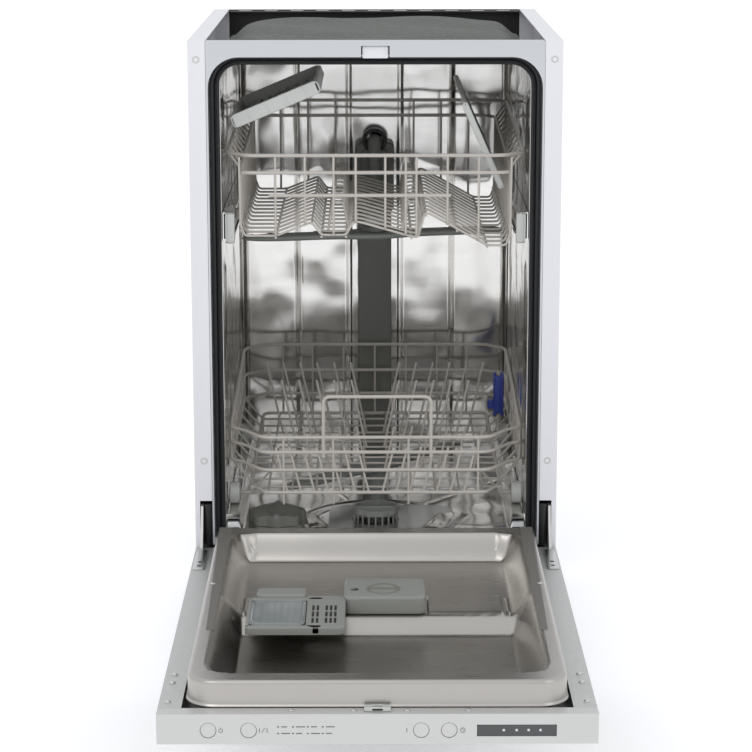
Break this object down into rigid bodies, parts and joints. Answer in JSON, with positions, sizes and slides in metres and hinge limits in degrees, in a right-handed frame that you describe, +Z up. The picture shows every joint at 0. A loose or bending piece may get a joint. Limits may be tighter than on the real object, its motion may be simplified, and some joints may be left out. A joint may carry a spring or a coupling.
{
  "type": "slimline built-in dishwasher",
  "caption": "Slimline built-in dishwasher with its door open: steel tub, sliding wire baskets, spray arms, dispenser in the door and buttons on the door edge",
  "frame": {"origin": "bottom centre of the bounding box with the door open, on the floor between the foot pads", "axes": "+X across the machine to the right seen from the front, +Y to the back, the door opens towards -Y, +Z up"},
  "size_m": [0.448, 1.115, 0.82],
  "materials": {
    "white_enamel": "glossy white stove enamel",
    "stainless": "brushed stainless sheet",
    "black_steel": "black dipped steel",
    "seal_rubber": "matt black rubber",
    "felt": "needled grey felt",
    "grey_plastic": "moulded grey polypropylene",
    "light_plastic": "moulded light grey polypropylene",
    "dark_plastic": "moulded black polypropylene",
    "coated_wire": "grey nylon coated steel wire",
    "zinc_steel": "zinc plated steel",
    "fascia_plastic": "satin silver painted fascia",
    "display_plastic": "smoked acrylic window",
    "lid_plastic": "translucent blue grey lid",
    "clip_plastic": "blue moulded nylon",
    "circuit_board": "green glass fibre board"
  },
  "bodies": {
    "cabinet": {"side_panel_left": "white_enamel", "side_panel_right": "white_enamel", "front_frame": "stainless", "rear_panel": "black_steel", "base_tray": "dark_plastic", "door_gasket": "seal_rubber", "tub_left_wall": "stainless", "tub_right_wall": "stainless", "tub_top_wall": "stainless", "tub_back_wall": "stainless", "tub_floor": "stainless", "felt_blanket": "felt", "hinge_bracket_left": "black_steel", "hinge_bracket_right": "black_steel", "door_spring_left": "zinc_steel", "door_spring_right": "zinc_steel", "upper_rail_left": "stainless", "upper_rail_right": "stainless", "water_duct": "grey_plastic", "sump": "dark_plastic", "fine_filter": "stainless", "circulation_pump": "dark_plastic", "drain_pump": "dark_plastic", "water_softener": "light_plastic", "inlet_valve": "light_plastic"},
    "door": {"door_outer_panel": "zinc_steel", "door_inner_liner": "stainless", "control_fascia": "fascia_plastic", "display_window": "display_plastic", "control_board": "circuit_board", "door_latch": "light_plastic", "dispenser_body": "grey_plastic", "hinge_arm_left": "zinc_steel", "hinge_arm_right": "zinc_steel"},
    "upper_rack": {"upper_basket": "coated_wire", "basket_slide_left": "zinc_steel", "basket_slide_right": "zinc_steel", "upper_feed_pipe": "grey_plastic"},
    "lower_rack": {"lower_basket": "coated_wire"},
    "foot_front_left_body": {"foot_front_left": "dark_plastic"},
    "foot_front_right_body": {"foot_front_right": "dark_plastic"},
    "foot_rear_body": {"foot_rear": "dark_plastic"},
    "filter_cup_body": {"filter_cup": "grey_plastic"},
    "salt_cap_body": {"salt_cap": "grey_plastic"},
    "lower_spray_arm_body": {"lower_spray_arm": "grey_plastic"},
    "detergent_lid_body": {"detergent_lid": "lid_plastic"},
    "rinse_cap_body": {"rinse_cap": "grey_plastic"},
    "power_button_body": {"power_button": "fascia_plastic"},
    "half_load_button_body": {"half_load_button": "fascia_plastic"},
    "program_button_body": {"program_button": "fascia_plastic"},
    "delay_button_body": {"delay_button": "fascia_plastic"},
    "upper_spray_arm_body": {"upper_spray_arm": "grey_plastic"},
    "cup_shelf_left_body": {"cup_shelf_left": "light_plastic"},
    "cup_shelf_right_body": {"cup_shelf_right": "light_plastic"},
    "folding_tines_body": {"folding_tines": "coated_wire"},
    "rack_clip_body": {"rack_clip": "clip_plastic"},
    "roller_front_left_body": {"roller_front_left": "light_plastic"},
    "roller_front_right_body": {"roller_front_right": "light_plastic"},
    "roller_rear_left_body": {"roller_rear_left": "light_plastic"},
    "roller_rear_right_body": {"roller_rear_right": "light_plastic"}
  },
  "joints": [
    {"name": "door_hinge", "type": "hinge", "parent": "cabinet", "child": "door", "pos_m": [0, 0.049, 0.2105], "axis": [1, 0, 0], "range_deg": [-90, 0]},
    {"name": "upper_rack_slide", "type": "slide", "parent": "cabinet", "child": "upper_rack", "axis": [0, -1, 0], "range_m": [0, 0.38]},
    {"name": "lower_rack_slide", "type": "slide", "parent": "cabinet", "child": "lower_rack", "axis": [0, -1, 0], "range_m": [0, 0.42]},
    {"name": "lower_arm_spin", "type": "hinge", "parent": "cabinet", "child": "lower_spray_arm_body", "pos_m": [0, 0.2775, 0.235], "axis": [0, 0, 1], "continuous": true},
    {"name": "upper_arm_spin", "type": "hinge", "parent": "upper_rack", "child": "upper_spray_arm_body", "pos_m": [0, 0.2775, 0.548], "axis": [0, 0, 1], "continuous": true},
    {"name": "filter_turn", "type": "hinge", "parent": "cabinet", "child": "filter_cup_body", "pos_m": [0, 0.1325, 0.19], "axis": [0, 0, 1], "range_deg": [0, 90]},
    {"name": "salt_cap_turn", "type": "hinge", "parent": "cabinet", "child": "salt_cap_body", "pos_m": [-0.126, 0.1355, 0.207], "axis": [0, 0, 1], "range_deg": [0, 540]},
    {"name": "detergent_lid_hinge", "type": "hinge", "parent": "door", "child": "detergent_lid_body", "pos_m": [-0.1105, -0.2295, 0.212], "axis": [1, 0, 0], "range_deg": [-80, 0]},
    {"name": "rinse_cap_turn", "type": "hinge", "parent": "door", "child": "rinse_cap_body", "pos_m": [0.008, -0.1985, 0.21], "axis": [0, 0, 1], "range_deg": [0, 90]},
    {"name": "cup_shelf_left_fold", "type": "hinge", "parent": "upper_rack", "child": "cup_shelf_left_body", "pos_m": [-0.179, 0.1845, 0.717], "axis": [0, 1, 0], "range_deg": [-4, 20]},
    {"name": "cup_shelf_right_fold", "type": "hinge", "parent": "upper_rack", "child": "cup_shelf_right_body", "pos_m": [0.152, 0.2675, 0.628], "axis": [0, 1, 0], "range_deg": [-40, 16]},
    {"name": "folding_tines_fold", "type": "hinge", "parent": "lower_rack", "child": "folding_tines_body", "pos_m": [0, 0.2625, 0.264], "axis": [1, 0, 0], "range_deg": [-80, 0]},
    {"name": "rack_clip_turn", "type": "hinge", "parent": "lower_rack", "child": "rack_clip_body", "pos_m": [0.166, 0.3335, 0.32], "axis": [0, 0, 1], "range_deg": [0, 60]},
    {"name": "power_button_press", "type": "slide", "parent": "door", "child": "power_button_body", "axis": [0, 1, 0], "range_m": [0, 0.002], "stiffness_N_per_m": 400},
    {"name": "half_load_button_press", "type": "slide", "parent": "door", "child": "half_load_button_body", "axis": [0, 1, 0], "range_m": [0, 0.002], "stiffness_N_per_m": 400},
    {"name": "program_button_press", "type": "slide", "parent": "door", "child": "program_button_body", "axis": [0, 1, 0], "range_m": [0, 0.002], "stiffness_N_per_m": 400},
    {"name": "delay_button_press", "type": "slide", "parent": "door", "child": "delay_button_body", "axis": [0, 1, 0], "range_m": [0, 0.002], "stiffness_N_per_m": 400},
    {"name": "foot_front_left_turn", "type": "hinge", "parent": "cabinet", "child": "foot_front_left_body", "pos_m": [-0.195, 0.0795, 0.03], "axis": [0, 0, 1], "continuous": true},
    {"name": "foot_front_right_turn", "type": "hinge", "parent": "cabinet", "child": "foot_front_right_body", "pos_m": [0.195, 0.0795, 0.03], "axis": [0, 0, 1], "continuous": true},
    {"name": "foot_rear_turn", "type": "hinge", "parent": "cabinet", "child": "foot_rear_body", "pos_m": [0, 0.5275, 0.03], "axis": [0, 0, 1], "continuous": true},
    {"name": "roller_front_left_spin", "type": "hinge", "parent": "lower_rack", "child": "roller_front_left_body", "pos_m": [-0.1793, 0.1275, 0.2393], "axis": [1, 0, 0], "continuous": true},
    {"name": "roller_front_right_spin", "type": "hinge", "parent": "lower_rack", "child": "roller_front_right_body", "pos_m": [0.1793, 0.1275, 0.2393], "axis": [1, 0, 0], "continuous": true},
    {"name": "roller_rear_left_spin", "type": "hinge", "parent": "lower_rack", "child": "roller_rear_left_body", "pos_m": [-0.1793, 0.4375, 0.2393], "axis": [1, 0, 0], "continuous": true},
    {"name": "roller_rear_right_spin", "type": "hinge", "parent": "lower_rack", "child": "roller_rear_right_body", "pos_m": [0.1793, 0.4375, 0.2393], "axis": [1, 0, 0], "continuous": true}
  ],
  "couplings": [
    {"joint": "roller_front_left_spin", "follows": "lower_rack_slide", "rad_per_m": 71.429},
    {"joint": "roller_front_right_spin", "follows": "lower_rack_slide", "rad_per_m": 71.429},
    {"joint": "roller_rear_left_spin", "follows": "lower_rack_slide", "rad_per_m": 71.429},
    {"joint": "roller_rear_right_spin", "follows": "lower_rack_slide", "rad_per_m": 71.429}
  ]
}
